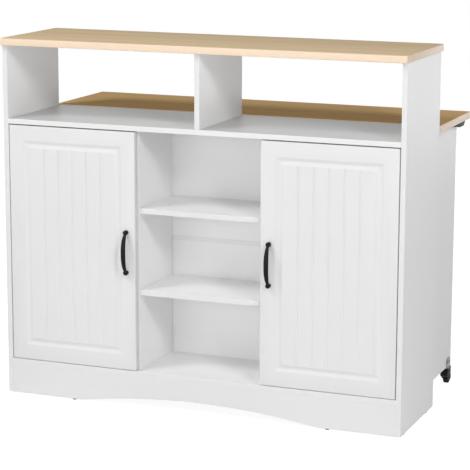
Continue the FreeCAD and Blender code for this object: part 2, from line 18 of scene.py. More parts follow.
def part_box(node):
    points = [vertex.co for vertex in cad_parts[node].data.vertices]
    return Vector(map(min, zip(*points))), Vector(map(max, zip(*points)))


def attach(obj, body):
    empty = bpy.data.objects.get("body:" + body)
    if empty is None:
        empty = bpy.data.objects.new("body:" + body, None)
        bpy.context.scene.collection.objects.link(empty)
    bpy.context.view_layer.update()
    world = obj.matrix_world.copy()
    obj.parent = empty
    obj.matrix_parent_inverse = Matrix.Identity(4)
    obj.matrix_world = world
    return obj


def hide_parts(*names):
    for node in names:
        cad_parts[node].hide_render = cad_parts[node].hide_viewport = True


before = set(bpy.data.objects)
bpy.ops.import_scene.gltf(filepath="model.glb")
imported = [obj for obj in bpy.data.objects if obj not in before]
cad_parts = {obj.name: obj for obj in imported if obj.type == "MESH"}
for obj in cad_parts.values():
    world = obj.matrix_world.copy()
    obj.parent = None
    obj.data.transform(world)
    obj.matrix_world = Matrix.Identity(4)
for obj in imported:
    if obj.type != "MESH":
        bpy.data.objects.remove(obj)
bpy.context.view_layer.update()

LOG = logging.getLogger("island")

Pair = tuple[float, float]
Triple = tuple[float, float, float]
Test =Callable[[Vector, Vector], bool]

# How far a direction goes along an axis: for a face square to it, an edge along it, an edge across it
SQUARE = 0.99
ALONG = 0.9
ACROSS = 0.1
# Edges between faces that meet at more than this count as hard
CREASE = math.radians(60)
SHADE_DEGREES = 35.0
MERGE = 1e-6
WHITE = (1.0, 1.0, 1.0, 1.0)


class Slot(str, Enum):
    """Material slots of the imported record."""

    WHITE_BOARD = "white_board"
    OAK_BOARD = "oak_board"
    BLACK_METAL = "black_metal"
    BLACK_PLASTIC = "black_plastic"
    WHEEL_HUB = "wheel_hub"
    WHEEL_RUBBER = "wheel_rubber"
    ZINC_STEEL = "zinc_steel"


class Side(Enum):
    """The two ends of the island."""

    LEFT = "left"
    RIGHT = "right"


class Axis(IntEnum):
    """The frame's axes."""

    X = 0
    Y = 1
    Z = 2


class Pick(Enum):
    """What an edit-mode selection takes hold of."""

    FACE = "FACE"
    EDGE = "EDGE"
    POINT = "VERT"


class Facets(IntEnum):
    """How many facets go round a turned shape."""

    SMALL = 24
    COMMON = 32
    FINE = 48
    CHANNEL = 64


# Shader graphs


class Socket:
    """An output of a shader graph that takes part in Python sums."""

    def __init__(self, graph: "Graph", output: bpy.types.NodeSocket) -> None:
        """Keep the graph and the output that this stands for."""
        self.graph = graph
        self.output = output

    def _math(self, operation: str, first: "Socket | float", second: "Socket | float") -> "Socket":
        """Add one Math node to the graph."""
        return self.graph.node("ShaderNodeMath", {"operation": operation}, {0: first, 1: second})

    def __add__(self, other: "Socket | float") -> "Socket":
        """Sum of two values."""
        return self._math("ADD", self, other)

    def __radd__(self, other: float) -> "Socket":
        """Sum with a number on the left."""
        return self._math("ADD", other, self)

    def __sub__(self, other: "Socket | float") -> "Socket":
        """Difference of two values."""
        return self._math("SUBTRACT", self, other)

    def __rsub__(self, other: float) -> "Socket":
        """Difference with a number on the left."""
        return self._math("SUBTRACT", other, self)

    def __mul__(self, other: "Socket | float") -> "Socket":
        """Product of two values."""
        return self._math("MULTIPLY", self, other)

    def __rmul__(self, other: float) -> "Socket":
        """Product with a number on the left."""
        return self._math("MULTIPLY", other, self)

    def swing(self, reach: float) -> "Socket":
        """A noise as a swing about zero, with this reach from end to end."""
        return (self - 0.5) * reach


class Graph:
    """The node tree of one material or of the world."""

    def __init__(self, tree: bpy.types.NodeTree) -> None:
        """Take over a node tree and empty it."""
        self.tree = tree
        tree.nodes.clear()

    def node(self, kind: str, settings: Mapping[str, Any] | None = None,
             sockets: Mapping[str | int, Any] | None = None, output: str | int = 0) -> Socket:
        """Add any node.

        Args:
            kind: Blender's type name of the node.
            settings: Attributes that are set before the sockets.
            sockets: Values or links of the inputs, by name or number.
            output: Name or number of the output wanted.

        Returns:
            The chosen output.
        """
        made = self.tree.nodes.new(kind)
        for name, value in (settings or {}).items():
            setattr(made, name, value)
        for key, value in (sockets or {}).items():
            if isinstance(value, Socket):
                self.tree.links.new(value.output, made.inputs[key])
            else:
                made.inputs[key].default_value = value
        return Socket(self, made.outputs[output] if made.outputs else None)

    def place(self) -> Socket:
        """The point on the surface in the piece's own frame."""
        return self.node("ShaderNodeTexCoord", output="Object")

    def stretched(self, place: Socket, scale: Triple) -> Socket:
        """The place with each axis multiplied."""
        return self.node("ShaderNodeVectorMath", {"operation": "MULTIPLY"}, {0: place, 1: scale})

    def moved(self, place: Socket, shift: Socket) -> Socket:
        """The place with another vector added."""
        return self.node("ShaderNodeVectorMath", {"operation": "ADD"}, {0: place, 1: shift})

    def vector(self, x: Socket | float, y: Socket | float, z: Socket | float) -> Socket:
        """A vector from three values."""
        return self.node("ShaderNodeCombineXYZ", None, {"X": x, "Y": y, "Z": z})

    def noise(self, place: Socket, scale: float, detail: float = 2.0, roughness: float = 0.5) -> Socket:
        """Cloudy noise between 0 and 1, with this many repeats per metre."""
        return self.node("ShaderNodeTexNoise", None,
                         {"Vector": place, "Scale": scale, "Detail": detail, "Roughness": roughness})

    def drawn(self, place: Socket, scale: Triple, detail: float = 2.0, roughness: float = 0.5) -> Socket:
        """Noise drawn out along the axes, with its repeats per metre for each."""
        return self.noise(self.stretched(place, scale), 1.0, detail, roughness)

    def step(self, value: Socket, low: float, high: float) -> Socket:
        """A smooth rise from 0 at low to 1 at high."""
        return self.node("ShaderNodeMapRange", {"interpolation_type": "SMOOTHSTEP"},
                         {"Value": value, "From Min": low, "From Max": high})

    def blend(self, share: Socket, first: "Socket | Triple", second: "Socket | Triple") -> Socket:
        """A colour between two others: the first at share 0 and the second at 1."""
        ends = [end if isinstance(end, Socket) else (*end, 1.0) for end in (first, second)]
        return self.node("ShaderNodeMix", {"data_type": "RGBA"}, {0: share, 6: ends[0], 7: ends[1]}, 2)

    def bump(self, height: Socket, depth: float, strength: float) -> Socket:
        """A normal tilted by a height field of that depth in metres."""
        return self.node("ShaderNodeBump", None,
                         {"Height": height, "Distance": depth, "Strength": strength})

    def surface(self, sockets: Mapping[str, Any]) -> None:
        """End the graph in a Principled shader with these sockets."""
        shader = self.node("ShaderNodeBsdfPrincipled", None, sockets)
        self.node("ShaderNodeOutputMaterial", None, {"Surface": shader})

    def seen(self) -> Socket:
        """Which rays look at a backdrop.

        Returns:
            1 for rays from the camera, a gloss or a clear body, otherwise 0.
        """
        camera, gloss, clear = (self.node("ShaderNodeLightPath", output=f"Is {kind} Ray")
                                for kind in ("Camera", "Glossy", "Transmission"))
        return self.node("ShaderNodeMath", {"operation": "ADD", "use_clamp": True},
                         {0: camera + gloss, 1: clear})


# Finishes


@dataclass(frozen=True)
class Finish:
    """A named surface finish."""

    name: str
    tone: Triple

    def paint(self, graph: Graph) -> None:
        """Fill the material's graph."""
        raise NotImplementedError

    def on(self, node: str) -> "Finish":
        """The finish as it is on one solid."""
        return self

    def material(self) -> bpy.types.Material:
        """The finish as a material, made on first use.

        Returns:
            The material of the finish's name.
        """
        made = bpy.data.materials.get(self.name)
        if made is None:
            made = bpy.data.materials.new(self.name)
            made.use_nodes = True
            self.paint(Graph(made.node_tree))
        return made

    def shade(self, share: float) -> Triple:
        """The tone multiplied by a share."""
        return tuple(part * share for part in self.tone)


@dataclass(frozen=True)
class Mottled(Finish):
    """A finish whose tone drifts between a dim and a bright shade."""

    roughness: float
    dim: float = 0.975
    bright: float = 1.025

    def mottle(self, graph: Graph, share: Socket, level: float = 1.0) -> Socket:
        """The tone times a level, dim at share 0 and bright at 1."""
        return graph.blend(share, self.shade(self.dim * level), self.shade(self.bright * level))


@dataclass(frozen=True)
class SatinFilm(Mottled):
    """White film on board: faint orange peel and a slow drift of gloss."""

    cloud: float = 5.0
    cloud_gloss: float = 0.1
    peel: float = 420.0
    peel_gloss: float = 0.08
    peel_depth: float = 0.00008
    peel_strength: float = 0.35
    grit_fineness: float = 6.0
    grit_share: float = 0.25
    specular: float = 0.25

    def ground(self, graph: Graph, cloud: Socket) -> Socket:
        """The film's colour."""
        return self.mottle(graph, cloud)

    def paint(self, graph: Graph) -> None:
        """White film on board.

        Args:
            graph: The material's graph.
        """
        place = graph.place()
        cloud = graph.noise(place, self.cloud, detail=3.0)
        peel = graph.noise(place, self.peel)
        grit = graph.noise(place, self.grit_fineness * self.peel, detail=1.0)
        graph.surface({
            "Base Color": self.ground(graph, cloud),
            "Roughness": cloud.swing(self.cloud_gloss) + peel.swing(self.peel_gloss) + self.roughness,
            "Normal": graph.bump(peel + grit * self.grit_share, self.peel_depth, self.peel_strength),
            "Specular IOR Level": self.specular,
        })


@dataclass(frozen=True)
class BandedFilm(SatinFilm):
    """White film on a board whose front edge takes another level of its tone, as painted light and shade.
    """

    # Level of the tone on the front edge: below 1 it is painted shade; on the cubby's film with painted
    # shade it lifts the edge back up.
    band: float = 1.0
    band_depth: float = 0.0005
    front: float = 0.0

    def on(self, node: str) -> "BandedFilm":
        """The film for one board, with the painted front shade at that board's front."""
        return replace(self, name=f"{self.name} {node}", front=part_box(node)[0].y)

    def ground(self, graph: Graph, cloud: Socket) -> Socket:
        """The film's colour, with painted shade at the board's front plane.

        Args:
            graph: The material's graph.
            cloud: Noise that the colour drifts with.

        Returns:
            The colour.
        """
        depth = graph.node("ShaderNodeSeparateXYZ", None, {0: graph.place()}, "Y") - self.front
        behind = graph.step(depth, self.band_depth / 2, self.band_depth)
        return graph.blend(behind, self.mottle(graph, cloud, self.band), self.mottle(graph, cloud))


@dataclass(frozen=True)
class OakPrint(Finish):
    """Oak-look print: long wavy figure, fine streaks and short pores along X."""

    roughness: float
    pale: Triple
    dark: Triple
    contrast: float = 1.0
    specular: float = 0.0
    sway: Triple = (1.3, 4.0, 4.0)
    sway_reach: float = 0.05
    tremble: Triple = (9.0, 30.0, 30.0)
    tremble_reach: float = 0.004
    broad: Triple = (0.7, 26.0, 26.0)
    figure: Triple = (1.6, 95.0, 95.0)
    streak: Triple = (5.0, 420.0, 420.0)
    pore: Triple = (26.0, 1500.0, 1500.0)
    broad_reach: float = 0.9
    figure_reach: float = 0.9
    streak_reach: float = 0.5
    ground_edges: Pair = (0.1, 0.9)
    line_mix: Pair = (0.6, 0.4)
    line_edges: Pair = (0.55, 0.72)
    line_share: float = 0.34
    pore_edges: Pair = (0.58, 0.72)
    pore_share: float = 0.3
    gloss_reach: float = 0.12
    streak_rise: float = 0.4
    pore_sink: float = 0.6
    relief: float = 0.00012
    relief_strength: float = 0.4

    def paint(self, graph: Graph) -> None:
        """Oak-look print.

        Args:
            graph: The material's graph.
        """
        place = graph.place()
        drift = (graph.drawn(place, self.sway).swing(self.sway_reach)
                 + graph.drawn(place, self.tremble).swing(self.tremble_reach))
        bent = graph.moved(place, graph.vector(0.0, drift, drift))
        broad = graph.drawn(bent, self.broad, detail=3.0, roughness=0.55)
        figure = graph.drawn(bent, self.figure, detail=3.0, roughness=0.6)
        streak = graph.drawn(bent, self.streak, detail=3.0, roughness=0.6)
        pore = graph.step(graph.drawn(bent, self.pore, detail=1.0), *self.pore_edges)
        grain = (broad.swing(self.broad_reach) + figure.swing(self.figure_reach)
                 + streak.swing(self.streak_reach))
        paleness = graph.step(grain * self.contrast + 0.5, *self.ground_edges)
        ground = graph.blend(paleness, self.tone, self.pale)
        lines = graph.step(figure * self.line_mix[0] + streak * self.line_mix[1], *self.line_edges)
        figured = graph.blend(lines * (self.line_share * self.contrast), ground, self.dark)
        graph.surface({
            "Base Color": graph.blend(pore * (self.pore_share * self.contrast), figured, self.dark),
            "Roughness": pore * self.gloss_reach + streak.swing(self.gloss_reach) + self.roughness,
            "Normal": graph.bump(streak * self.streak_rise - pore * self.pore_sink,
                                 self.relief, self.relief_strength),
            "Specular IOR Level": self.specular,
        })


@dataclass(frozen=True)
class Moulding(Mottled):
    """Moulded plastic or rubber: fine spark-eroded grain."""

    dim: float = 0.8
    bright: float = 1.25
    cloud: float = 30.0
    cloud_share: float = 0.6
    cloud_gloss: float = 0.1
    grain: float = 900.0
    grain_share: float = 0.4
    grain_gloss: float = 0.2
    grain_depth: float = 0.00012
    grain_strength: float = 0.5
    specular: float = 0.12

    def paint(self, graph: Graph) -> None:
        """Moulded plastic or rubber.

        Args:
            graph: The material's graph.
        """
        place = graph.place()
        cloud = graph.noise(place, self.cloud)
        grain = graph.noise(place, self.grain)
        graph.surface({
            "Base Color": self.mottle(graph, cloud * self.cloud_share + grain * self.grain_share),
            "Roughness": grain.swing(self.grain_gloss) + cloud.swing(self.cloud_gloss) + self.roughness,
            "Normal": graph.bump(grain, self.grain_depth, self.grain_strength),
            "Specular IOR Level": self.specular,
        })


@dataclass(frozen=True)
class PowderCoat(Mottled):
    """Black coat on cast metal: pebbled gloss, a little greyer where it is thin."""

    dim: float = 0.7
    bright: float = 1.5
    cloud: float = 60.0
    pebble: float = 1300.0
    pebble_gloss: float = 0.25
    pebble_depth: float = 0.00015
    pebble_strength: float = 0.5
    specular: float = 0.12
    coat: float = 0.04
    coat_roughness: float = 0.25

    def paint(self, graph: Graph) -> None:
        """Black coat on cast metal.

        Args:
            graph: The material's graph.
        """
        place = graph.place()
        pebble = graph.noise(place, self.pebble)
        graph.surface({
            "Base Color": self.mottle(graph, graph.noise(place, self.cloud, detail=3.0)),
            "Roughness": pebble.swing(self.pebble_gloss) + self.roughness,
            "Normal": graph.bump(pebble, self.pebble_depth, self.pebble_strength),
            "Specular IOR Level": self.specular,
            "Coat Weight": self.coat,
            "Coat Roughness": self.coat_roughness,
        })


@dataclass(frozen=True)
class ZincPlate(Mottled):
    """Bright zinc on pressed steel: rolling marks and a blotchy passivation."""

    dim: float = 0.85
    bright: float = 1.12
    mark: float = 1400.0
    mark_draw: Triple = (1.0, 1.0, 0.06)
    mark_gloss: float = 0.16
    mark_depth: float = 0.00004
    mark_strength: float = 0.4
    blotch: float = 120.0
    blotch_gloss: float = 0.18

    def paint(self, graph: Graph) -> None:
        """Bright zinc on pressed steel.

        Args:
            graph: The material's graph.
        """
        place = graph.place()
        mark = graph.noise(graph.stretched(place, self.mark_draw), self.mark)
        blotch = graph.noise(place, self.blotch, detail=3.0)
        graph.surface({
            "Base Color": self.mottle(graph, blotch),
            "Metallic": 1.0,
            "Roughness": mark.swing(self.mark_gloss) + blotch.swing(self.blotch_gloss) + self.roughness,
            "Normal": graph.bump(mark, self.mark_depth, self.mark_strength),
        })


@dataclass(frozen=True)
class PaleFloor(Finish):
    """Studio floor: pale to the eye, a little greyer as a reflector, and it keeps the shadow."""

    speckle: float = 40.0
    dim: float = 0.98
    bright: float = 1.02
    glow: float = 0.915
    catch: float = 0.3

    def paint(self, graph: Graph) -> None:
        """Studio floor.

        Args:
            graph: The material's graph.
        """
        speckle = graph.noise(graph.place(), self.speckle)
        bounce = graph.blend(speckle, self.shade(self.dim), self.shade(self.bright))
        grey = (self.catch, self.catch, self.catch, 1.0)
        reflector, lit = (graph.node("ShaderNodeBsdfDiffuse", None, {"Color": colour})
                          for colour in (bounce, grey))
        own = graph.node("ShaderNodeEmission", None, {"Color": WHITE, "Strength": self.glow})
        shown = graph.node("ShaderNodeAddShader", None, {0: lit, 1: own})
        mixed = graph.node("ShaderNodeMixShader", None, {0: graph.seen(), 1: reflector, 2: shown})
        graph.node("ShaderNodeOutputMaterial", None, {"Surface": mixed})


# The white boards' front edges are painted a shade darker than their faces: painted shade.
WHITE_FILM = BandedFilm("white film", (0.95, 0.95, 0.95), 0.4, band=0.845)
# The cubby floor's film is greyer than the other boards: painted shade for the counter's shadow. Its front
# edge is lifted back to about the level of the other boards' front edges.
CUBBY_FILM_PAINTED_SHADE = BandedFilm("cubby film", (0.63, 0.63, 0.63), 0.4, band=1.33)
DOOR_PAINT = SatinFilm("door paint", (0.795, 0.795, 0.795), 0.4, peel=300.0)
COUNTER_BACKING = SatinFilm("counter backing", (0.84, 0.84, 0.84), 0.4)
BACK_PAINT = SatinFilm("back sheet paint", (0.95, 0.95, 0.95), 0.5, peel=900.0)
WHITE_PROFILE = SatinFilm("white profile", (0.88, 0.88, 0.88), 0.42, peel=1200.0)
# The top and the leaf are one oak print in two copies: the leaf's darker, more saturated copy is painted
# shade, and the top's paler, greyer copy takes in a painted sheen.
OAK_TOP = OakPrint("oak top", (0.725, 0.56, 0.35), 0.6,
                   pale=(0.85, 0.675, 0.445), dark=(0.445, 0.32, 0.17))
OAK_LEAF_PAINTED_SHADE = OakPrint("oak leaf", (0.67, 0.439, 0.197), 0.6,
                    pale=(0.778, 0.52, 0.252), dark=(0.41, 0.252, 0.098))
OAK_BAND = OakPrint("oak edge band", (0.87, 0.68, 0.5), 0.42,
                    pale=(0.94, 0.76, 0.59), dark=(0.72, 0.52, 0.35), contrast=0.6, specular=0.17)
BLACK_COAT = PowderCoat("black coat", (0.006, 0.006, 0.0063), 0.26)
BLACK_MOULDING = Moulding("black moulding", (0.01, 0.01, 0.011), 0.5)
HUB_MOULDING = Moulding("hub moulding", (0.04, 0.04, 0.042), 0.45)
TYRE_RUBBER = Moulding("tyre rubber", (0.014, 0.014, 0.014), 0.68, grain=1500.0)
ZINC = ZincPlate("zinc plate", (0.36, 0.365, 0.38), 0.32)
CASTER_ZINC = ZincPlate("caster zinc", (0.19, 0.192, 0.2), 0.28)
FLOOR = PaleFloor("pale floor", (0.8, 0.8, 0.8))


# Bench tools


class Workpiece:
    """One mesh on the bench, shaped with Blender's own edit tools."""

    def __init__(self, name: str) -> None:
        """Take the active object and name it.

        Args:
            name: Name of the piece and of its mesh.
        """
        self.obj: bpy.types.Object = bpy.context.active_object
        self.obj.name = name
        self.obj.data.name = name

    @staticmethod
    def clear() -> None:
        """Drop every selection."""
        bpy.ops.object.select_all(action="DESELECT")

    @classmethod
    def block(cls, name: str, low: Vector, high: Vector) -> "Workpiece":
        """A cube stretched between two corners.

        Args:
            name: Name of the piece.
            low: Lowest corner.
            high: Highest corner.

        Returns:
            The piece, with its place in its mesh.
        """
        cls.clear()
        bpy.ops.mesh.primitive_cube_add(size=1.0, location=(low + high) / 2)
        piece = cls(name)
        piece.obj.scale = high - low
        return piece.settled()

    @classmethod
    def rod(cls, name: str, start: Vector, end: Vector, radius: float,
            sides: int = Facets.COMMON) -> "Workpiece":
        """A cylinder between two points.

        Args:
            name: Name of the piece.
            start: Middle of one end.
            end: Middle of the other end.
            radius: Its radius.
            sides: Number of facets.

        Returns:
            The piece, with its place in its mesh.
        """
        cls.clear()
        line = end - start
        bpy.ops.mesh.primitive_cylinder_add(vertices=sides, radius=radius, depth=line.length,
                                            location=(start + end) / 2,
                                            rotation=line.to_track_quat("Z", "Y").to_euler())
        return cls(name).settled()

    @classmethod
    def ball(cls, name: str, centre: Vector, radius: float) -> "Workpiece":
        """A sphere about a point.

        Args:
            name: Name of the piece.
            centre: Its middle.
            radius: Its radius.

        Returns:
            The piece, with its place in its mesh.
        """
        cls.clear()
        bpy.ops.mesh.primitive_uv_sphere_add(segments=Facets.COMMON, ring_count=Facets.COMMON // 2,
                                             radius=radius, location=centre)
        return cls(name).settled()

    @classmethod
    def disc(cls, name: str, centre: Vector, size: Pair) -> "Workpiece":
        """A flat filled ellipse, level with the floor.

        Args:
            name: Name of the piece.
            centre: Its middle.
            size: Full width along X and along Y.

        Returns:
            The piece, with its place in its mesh.
        """
        cls.clear()
        bpy.ops.mesh.primitive_circle_add(vertices=Facets.SMALL, radius=0.5, fill_type="NGON",
                                          location=centre)
        piece = cls(name)
        piece.obj.scale = (*size, 1.0)
        return piece.settled()

    def activate(self) -> None:
        """Make this the only selected and the active object."""
        self.clear()
        self.obj.select_set(True)
        bpy.context.view_layer.objects.active = self.obj

    def settled(self) -> "Workpiece":
        """The piece with its place, turn and scale put into its mesh.

        Returns:
            The same piece.
        """
        self.activate()
        bpy.ops.object.transform_apply(location=True, rotation=True, scale=True)
        return self

    @contextmanager
    def editing(self) -> Iterator[None]:
        """Edit mode for the length of a with block."""
        self.activate()
        bpy.ops.object.mode_set(mode="EDIT")
        yield
        bpy.ops.object.mode_set(mode="OBJECT")

    def pick(self, kind: Pick, test: Test, crease: float = 0.0) -> None:
        """Select in edit mode by place and direction.

        Args:
            kind: Faces, edges or points.
            test: Says yes to a centre and a normal, or an edge's direction.
            crease: For edges, the least angle in radians between the two faces.
        """
        bpy.ops.mesh.select_mode(type=kind.value)
        bpy.ops.mesh.select_all(action="DESELECT")
        shape = bmesh.from_edit_mesh(self.obj.data)
        if kind is Pick.FACE:
            rows = [(face, face.calc_center_median(), face.normal) for face in shape.faces]
        elif kind is Pick.EDGE:
            rows = [(edge, (edge.verts[0].co + edge.verts[1].co) / 2,
                     (edge.verts[1].co - edge.verts[0].co).normalized())
                    for edge in shape.edges if edge.calc_face_angle(0.0) >= crease]
        else:
            rows = [(point, point.co, point.normal) for point in shape.verts]
        for part, centre, direction in rows:
            if test(centre, direction):
                part.select_set(True)
        shape.select_flush_mode()
        bmesh.update_edit_mesh(self.obj.data)

    def bevel(self, test: Test, width: float, segments: int, crease: float = 0.0) -> None:
        """Round the edges that pass a test, in edit mode.

        Args:
            test: Says yes to an edge's middle and direction.
            width: Width of the rounding.
            segments: Facets across it.
            crease: Least angle in radians between an edge's faces.
        """
        self.pick(Pick.EDGE, test, crease)
        bpy.ops.mesh.bevel(offset=width, segments=segments, affect="EDGES", clamp_overlap=True)

    @staticmethod
    def inset(*steps: Pair) -> None:
        """Inset the picked faces step by step in edit mode, each time by a width and a height."""
        for width, height in steps:
            bpy.ops.mesh.inset(thickness=width, depth=height)

    def score(self, test: Test, axis: Axis, place: float, shifts: Sequence[float]) -> None:
        """Cut faces by planes square to an axis, in edit mode.

        Args:
            test: Says yes to the faces that are cut.
            axis: The axis.
            place: Place on it that the shifts start from.
            shifts: How far each plane is from that place.
        """
        normal = Vector((0.0, 0.0, 0.0))
        normal[axis] = 1.0
        for shift in shifts:
            self.pick(Pick.FACE, test)
            bpy.ops.mesh.bisect(plane_co=normal * (place + shift), plane_no=normal)

    def outward(self) -> None:
        """Merge doubles and turn every face outward."""
        with self.editing():
            bpy.ops.mesh.select_all(action="SELECT")
            bpy.ops.mesh.remove_doubles(threshold=MERGE)
            bpy.ops.mesh.normals_make_consistent(inside=False)

    def apply(self, kind: str, **settings: Any) -> None:
        """Add a modifier and apply it.

        Args:
            kind: Blender's type name of the modifier.
            settings: Its attributes.
        """
        self.activate()
        modifier = self.obj.modifiers.new(kind.title(), kind)
        for name, value in settings.items():
            setattr(modifier, name, value)
        bpy.ops.object.modifier_apply(modifier=modifier.name)

    def cut(self, tools: Sequence["Workpiece"], operation: str = "DIFFERENCE") -> None:
        """Take the tools' bodies away from this one, or fuse them to it, and drop the tools.

        Args:
            tools: The bodies.
            operation: Blender's name for the boolean.
        """
        for tool in tools:
            self.apply("BOOLEAN", object=tool.obj, operation=operation, solver="EXACT")
            bpy.data.objects.remove(tool.obj)

    def pare(self, x: float, start: Pair, end: Pair) -> None:
        """Cut off and close what lies to the left of a line in the side view, in edit mode.

        Args:
            x: Any X that the piece covers.
            start: Y and Z of the line's start.
            end: Y and Z of its end.
        """
        normal = Vector((0.0, start[1] - end[1], end[0] - start[0])).normalized()
        bpy.ops.mesh.select_all(action="SELECT")
        bpy.ops.mesh.bisect(plane_co=(x, *start), plane_no=normal, use_fill=True, clear_outer=True,
                            threshold=MERGE)

    def join(self, others: Sequence["Workpiece"]) -> None:
        """Take other pieces into this mesh.

        Args:
            others: The pieces, which are gone afterwards.
        """
        self.activate()
        for other in others:
            other.obj.select_set(True)
        bpy.ops.object.join()

    def twin(self, name: str) -> "Workpiece":
        """The same shape at the island's other end, with a mesh of its own.

        Args:
            name: Name of the new piece.

        Returns:
            The mirrored piece.
        """
        copied = self.obj.copy()
        copied.data = self.obj.data.copy()
        bpy.context.collection.objects.link(copied)
        bpy.context.view_layer.objects.active = copied
        piece = Workpiece(name)
        piece.obj.scale = (-1.0, 1.0, 1.0)
        piece.settled().outward()
        return piece

    def smooth(self, degrees: float = SHADE_DEGREES) -> None:
        """Shade smooth, with sharp edges above an angle."""
        self.activate()
        bpy.ops.object.shade_smooth_by_angle(angle=math.radians(degrees))

    def dress(self, finish: Finish, *others: tuple[Finish, Test]) -> None:
        """Give the piece its finish, and others where faces pass a test.

        Args:
            finish: Finish of the whole piece.
            others: Further finishes, each with a test of a face's centre and normal.
        """
        data = self.obj.data
        data.materials.clear()
        for each in (finish, *(other for other, test in others)):
            data.materials.append(each.material())
        for face in data.polygons:
            face.material_index = next((number for number, (other, test) in enumerate(others, 1)
                                        if test(face.center, face.normal)), 0)

    def hand_in(self, body: str, slot: Slot, *nodes: str) -> None:
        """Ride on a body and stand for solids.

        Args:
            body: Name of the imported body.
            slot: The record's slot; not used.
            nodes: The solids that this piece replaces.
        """
        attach(self.obj, body)
        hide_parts(*nodes)
        LOG.info("%s on %s: %d faces", self.obj.name, body, len(self.obj.data.polygons))

    def hand_in_pair(self, finish: Finish, body: str, slot: Slot, *nodes: str,
                     degrees: float = SHADE_DEGREES) -> None:
        """Dress and hand in this right-hand piece and its left-hand twin.

        Args:
            finish: Finish of both.
            body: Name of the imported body, with braces where it names the side.
            slot: The record's slot.
            nodes: The solids that they replace, named without the side.
            degrees: Angle above which their edges are sharp.
        """
        self.outward()
        twin = self.twin(self.obj.name.replace(Side.RIGHT.value, Side.LEFT.value))
        for side, piece in ((Side.RIGHT, self), (Side.LEFT, twin)):
            piece.smooth(degrees)
            piece.dress(finish)
            piece.hand_in(body.format(side.value), slot, *(f"{node}_{side.value}" for node in nodes))


# Sub-assemblies


@dataclass
class Carcass:
    """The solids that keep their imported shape: for each finish, single nodes and nodes of both sides."""

    table: tuple[tuple[Finish, tuple[str, ...], tuple[str, ...]], ...] = (
        (WHITE_FILM, ("bottom_panel", "niche_shelf_lower", "niche_shelf_upper", "cubby_divider"),
         ("side_panel", "divider", "cabinet_shelf", "leg_panel")),
        # The cubby floor takes the film with painted shade.
        (CUBBY_FILM_PAINTED_SHADE, ("cubby_floor",), ()),
        (DOOR_PAINT, ("plinth_front", "plinth_rear"), ()),
        (BACK_PAINT, ("back_panel_upper", "back_panel_lower"), ()),
        (WHITE_PROFILE, ("back_joiner",), ()),
        (ZINC, ("shelf_pins", "cam_locks", "cam_bolts", "bracket_screws", "leaf_pins"),
         ("hinge_arms", "hinge_cups", "corner_bracket", "foot_bracket", "handle_screws", "leg_pins")),
        (CASTER_ZINC, (), ("caster_bracket", "cheek_screws", "caster_pins")),
        (BLACK_MOULDING, ("floor_glides",), ()),
    )

    def dress(self) -> None:
        """Give every kept solid its finish."""
        for finish, single, paired in self.table:
            nodes = [*single, *(f"{name}_{side.value}" for name in paired for side in Side)]
            for node in nodes:
                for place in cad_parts[node].material_slots:
                    place.material = finish.on(node).material()
            LOG.info("%s on %d solids", finish.name, len(nodes))


@dataclass
class Counter:
    """A counter board with its edge band."""

    node: str
    name: str
    body: str
    face: Finish
    backing: Finish
    edge: float = 0.002
    segments: int = 4
    level: float = 0.95

    def blank(self) -> Workpiece:
        """The board with its long and short edges rounded.

        Returns:
            The board, still undressed.
        """
        low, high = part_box(self.node)
        board = Workpiece.block(self.name, low, high)
        with board.editing():
            board.bevel(lambda centre, line: True, self.edge, self.segments)
        return board

    def banded(self, centre: Vector, normal: Vector) -> bool:
        """Whether a face belongs to the edge band."""
        return abs(normal.z) < self.level

    def build(self) -> None:
        """Make the board, with its print on the faces and the paler band round the edges."""
        board = self.blank()
        board.smooth()
        board.dress(self.face, (OAK_BAND, self.banded),
                    (self.backing, lambda centre, normal: normal.z < -self.level))
        board.hand_in(self.body, Slot.OAK_BOARD, self.node)


@dataclass
class Leaf(Counter):
    """The drop leaf: round nose on the hinge side, slots for the ears and bores for the pins."""

    nose: float = 0.0098
    nose_segments: int = 12
    slot_inner: float = 0.5817
    slot_outer: float = 0.5858
    slot_reach: float = 0.048
    pin_radius: float = 0.0041
    pin_start: float = 0.556
    overrun: float = 0.004

    def banded(self, centre: Vector, normal: Vector) -> bool:
        """Whether a face belongs to the edge band or to the nose."""
        return super().banded(centre, normal) or centre.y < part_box(self.node)[0].y + self.nose

    def blank(self) -> Workpiece:
        """The leaf's board with its nose and cut-outs.

        Returns:
            The board, still undressed.
        """
        low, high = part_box(self.node)
        leaf = Workpiece.block(self.name, low, high)
        with leaf.editing():
            leaf.bevel(lambda centre, line: centre.y < low.y + self.edge and abs(line.x) > ALONG,
                       self.nose, self.nose_segments)
            leaf.bevel(lambda centre, line: centre.y > low.y + self.nose + self.edge,
                       self.edge, self.segments, CREASE)
        tools = []
        for sign in (-1, 1):
            near, far = sorted((sign * self.slot_inner, sign * self.slot_outer))
            tools.append(Workpiece.block("slot tool",
                                         Vector((near, low.y - self.overrun, low.z - self.overrun)),
                                         Vector((far, low.y + self.slot_reach, high.z + self.overrun))))
            start, end = (Vector((sign * x, low.y + (high.z - low.z) / 2, (low.z + high.z) / 2))
                          for x in (self.pin_start, high.x + self.overrun))
            tools.append(Workpiece.rod("pin tool", start, end, self.pin_radius))
        leaf.cut(tools)
        return leaf


